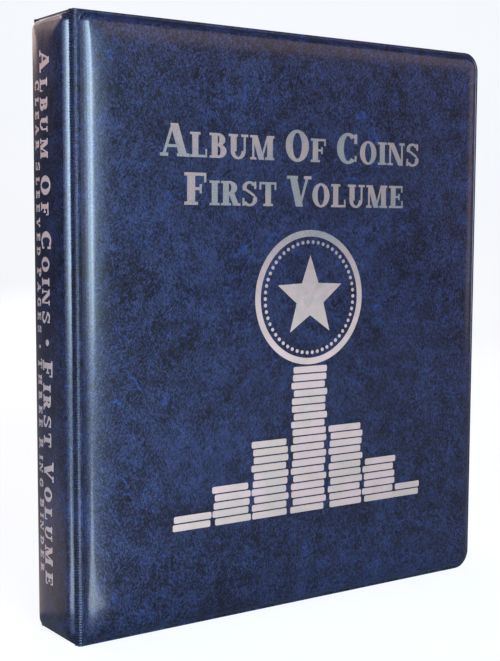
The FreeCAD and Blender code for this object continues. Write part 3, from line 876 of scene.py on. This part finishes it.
def sweep():
    """A pale floor that curves up into a backdrop far behind the album."""
    reach, bend_start, bend_radius, top, bends = 6000.0, 1600.0, 700.0, 2600.0, 12
    below_album = 0.05
    rows = [(-reach, 0.0), (bend_start, 0.0)]
    for k in range(1, bends + 1):
        a = math.pi / 2 * k / bends
        rows.append((bend_start + bend_radius * math.sin(a), bend_radius * (1 - math.cos(a))))
    rows.append((bend_start + bend_radius, top))
    turn = Matrix.Rotation(math.radians(-34.8), 3, "Z")
    points = [tuple(turn @ Vector((x, y, z - below_album)))
              for y, z in rows for x in (-reach, reach)]
    faces = [(2 * k, 2 * k + 1, 2 * k + 3, 2 * k + 2) for k in range(len(rows) - 1)]
    return add_mesh("floor", points, faces)


def studio_world():
    """White behind everything that the camera sees, and a faint cool fill for the rest."""
    world = bpy.data.worlds.new("studio")
    world.use_nodes = True
    tree = world.node_tree
    tree.nodes.clear()
    backgrounds = []
    for color, strength in (((0.75, 0.8, 1.0, 1.0), 0.06), ((1.0, 1.0, 1.0, 1.0), 1.0)):
        background = tree.nodes.new("ShaderNodeBackground")
        background.inputs["Color"].default_value = color
        background.inputs["Strength"].default_value = strength
        backgrounds.append(background)
    path = tree.nodes.new("ShaderNodeLightPath")
    both = tree.nodes.new("ShaderNodeMixShader")
    out = tree.nodes.new("ShaderNodeOutputWorld")
    tree.links.new(path.outputs["Is Camera Ray"], both.inputs[0])
    tree.links.new(backgrounds[0].outputs[0], both.inputs[1])
    tree.links.new(backgrounds[1].outputs[0], both.inputs[2])
    tree.links.new(both.outputs[0], out.inputs[0])
    return world


def area_light(name, place, target, size, power, color):
    light = bpy.data.lights.new(name, "AREA")
    light.shape = "RECTANGLE"
    light.size, light.size_y = size
    light.energy = power
    light.color = color
    thing = bpy.data.objects.new(name, light)
    thing.location = place
    way = Vector(target) - Vector(place)
    thing.rotation_euler = way.to_track_quat("-Z", "Y").to_euler()
    thing.visible_camera = False
    bpy.context.scene.collection.objects.link(thing)
    return thing


def around(azimuth, distance, height):
    """A point seen from the album at this angle from -Y towards -X."""
    a = math.radians(azimuth)
    return (-math.sin(a) * distance, -math.cos(a) * distance, height)


def add_camera():
    """The camera, by the azimuth and elevation of its view and its own roll, in degrees."""
    data = bpy.data.cameras.new("camera")
    data.sensor_width = 36.0
    data.lens = 67.50
    data.shift_x = 0.0100
    data.shift_y = 0.0274
    data.clip_start = 0.01
    azimuth, elevation, roll = (math.radians(a) for a in (34.79, 5.52, 0.194))
    forward = Vector((math.sin(azimuth) * math.cos(elevation),
                      math.cos(azimuth) * math.cos(elevation), -math.sin(elevation)))
    right = Vector((math.cos(azimuth), -math.sin(azimuth), 0.0))
    up = right.cross(forward)
    camera_x = right * math.cos(roll) + up * math.sin(roll)
    camera_y = (-forward).cross(camera_x)
    turn = Matrix((camera_x, camera_y, -forward)).transposed().to_4x4()
    camera = bpy.data.objects.new("camera", data)
    camera.matrix_world = Matrix.Translation((-0.38951, -0.53647, 0.19854)) @ turn
    bpy.context.scene.collection.objects.link(camera)
    return camera


floor = sweep()
floor.data.materials.append(stage_material())
bpy.context.scene.world = studio_world()

MIDDLE = (0.0, 0.0, 0.149)
COOL, PALE_BLUE, WARM = (0.58, 0.79, 1.0), (0.64, 0.80, 1.0), (1.0, 0.72, 0.64)
area_light("key_softbox", around(8, 1.73, 0.50), MIDDLE, (0.36, 1.1), 32.0, COOL)
area_light("side_near", around(26, 1.7, 0.5), MIDDLE, (0.74, 1.0), 31.0, COOL)
area_light("side_middle", around(52, 1.7, 0.5), MIDDLE, (0.78, 1.0), 11.0, PALE_BLUE)
area_light("side_far", around(82, 1.7, 0.5), MIDDLE, (0.9, 1.0), 4.0, (0.80, 0.84, 1.0))
bounce = area_light("floor_bounce", (-0.206, -0.242, 0.004), MIDDLE, (0.08, 0.40), 0.7,
                    (0.70, 0.85, 1.0))
bounce.rotation_euler = (math.pi, 0.0, math.radians(-20))
behind = area_light("floor_bounce_behind", (-0.216, 0.150, 0.004), MIDDLE, (0.16, 0.30), 0.05,
                    (1.0, 0.72, 0.66))
behind.rotation_euler = (math.pi, 0.0, math.radians(-150))
area_light("rim_light", around(-105, 1.5, 0.3), MIDDLE, (0.5, 1.0), 2.0, (0.85, 0.88, 1.0))
area_light("back_fill", around(200, 1.8, 0.7), MIDDLE, (1.0, 0.8), 10.0, (1.0, 0.97, 0.94))
top = area_light("top_softbox", (0.3, 0.2, 1.9), MIDDLE, (1.6, 1.6), 8.0, (1.0, 0.98, 0.96))
top.visible_glossy = False
area_light("warm_behind", (-0.95, 1.3, 1.35), MIDDLE, (0.8, 0.6), 9.5, WARM)
area_light("warm_behind_low", (-0.37, 1.68, 0.80), MIDDLE, (0.45, 0.6), 2.6, WARM)
area_light("warm_right", (1.15, -1.5, 1.3), MIDDLE, (1.3, 0.8), 4.0, (1.0, 0.70, 0.62))
area_light("warm_right_low", (1.65, -0.85, 0.45), MIDDLE, (0.45, 1.1), 2.0, (1.0, 0.70, 0.62))

bpy.context.scene.camera = add_camera()
bpy.context.scene.view_settings.view_transform = "Standard"
